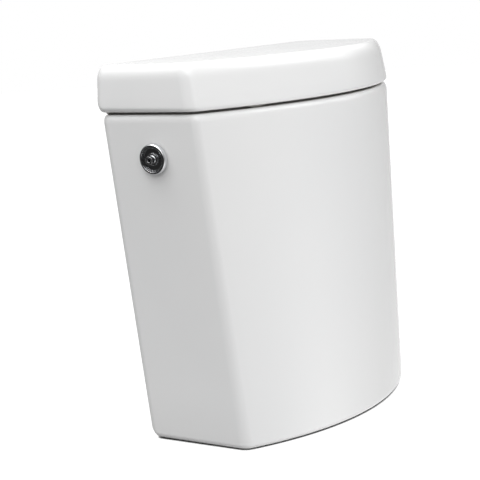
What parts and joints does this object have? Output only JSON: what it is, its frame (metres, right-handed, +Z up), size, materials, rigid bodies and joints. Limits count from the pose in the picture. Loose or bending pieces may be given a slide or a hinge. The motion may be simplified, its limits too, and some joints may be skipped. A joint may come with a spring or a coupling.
{
  "type": "toilet cistern",
  "caption": "Raked white ceramic toilet cistern with a bowed front and lift-off lid, a dished chrome side spindle bush, a drop flush valve and a float-operated fill valve.",
  "frame": {"origin": "on the flush outlet's axis, at the level that the tank's standing rim rests on", "axes": "+Z up, -Y the bowed front, +Y the wall behind, -X the side with the flush spindle"},
  "size_m": [0.3916, 0.1823, 0.3846],
  "materials": {
    "vitreous_china": "white glaze, smooth and glossy",
    "chrome": "bright chrome plate",
    "steel": "zinc plated steel",
    "brass": "turned brass",
    "black_rubber": "matt black rubber",
    "red_rubber": "matt red silicone rubber",
    "white_plastic": "moulded white plastic",
    "blue_plastic": "moulded blue plastic",
    "grey_plastic": "moulded grey plastic"
  },
  "bodies": {
    "tank_body": {"tank": "vitreous_china", "lever_bush": "chrome", "bush_outer_washer": "black_rubber", "bush_inner_washer": "black_rubber", "bush_nut": "brass", "flush_valve_base": "white_plastic", "flush_base_seal": "black_rubber", "flush_nut_washer": "white_plastic", "flush_back_nut": "white_plastic", "flush_cage": "blue_plastic", "fill_valve_body": "white_plastic", "fill_shank_seal": "black_rubber", "fill_back_nut": "white_plastic", "inlet_filter": "blue_plastic", "fill_valve_head": "white_plastic", "diaphragm": "black_rubber", "valve_cap": "blue_plastic", "discharge_pipe": "white_plastic", "float_stop": "blue_plastic", "lever_pin": "steel"},
    "lid": {"lid": "vitreous_china"},
    "spindle": {"lever_spindle": "chrome", "spindle_clip": "steel", "crank_arm": "steel", "crank_screw": "steel"},
    "plunger": {"overflow_tube": "white_plastic", "plunger_seal": "red_rubber", "seal_retainer": "blue_plastic", "lift_stem": "blue_plastic"},
    "float": {"float_cup": "grey_plastic", "float_rod": "brass", "float_rod_nuts": "brass"},
    "lever": {"valve_lever": "blue_plastic"}
  },
  "joints": [
    {"name": "lid_lift", "type": "slide", "parent": "tank_body", "child": "lid", "axis": [0, 0, 1], "range_m": [0, 0.12]},
    {"name": "spindle_turn", "type": "hinge", "parent": "tank_body", "child": "spindle", "pos_m": [-0.18752, 0.0307, 0.2918], "axis": [-0.9968, 0, -0.0803], "range_deg": [0, 45]},
    {"name": "plunger_lift", "type": "slide", "parent": "tank_body", "child": "plunger", "axis": [0, 0, 1], "range_m": [0, 0.02598]},
    {"name": "float_rise", "type": "slide", "parent": "tank_body", "child": "float", "axis": [0, 0, 1], "range_m": [0, 0.014]},
    {"name": "lever_rock", "type": "hinge", "parent": "tank_body", "child": "lever", "pos_m": [0.11, 0.01, 0.272], "axis": [0, 1, 0], "range_deg": [0, 27]}
  ],
  "couplings": [
    {"joint": "plunger_lift", "follows": "spindle_turn", "m_per_rad": 0.033026},
    {"joint": "lever_rock", "follows": "float_rise", "rad_per_m": 33.644}
  ]
}
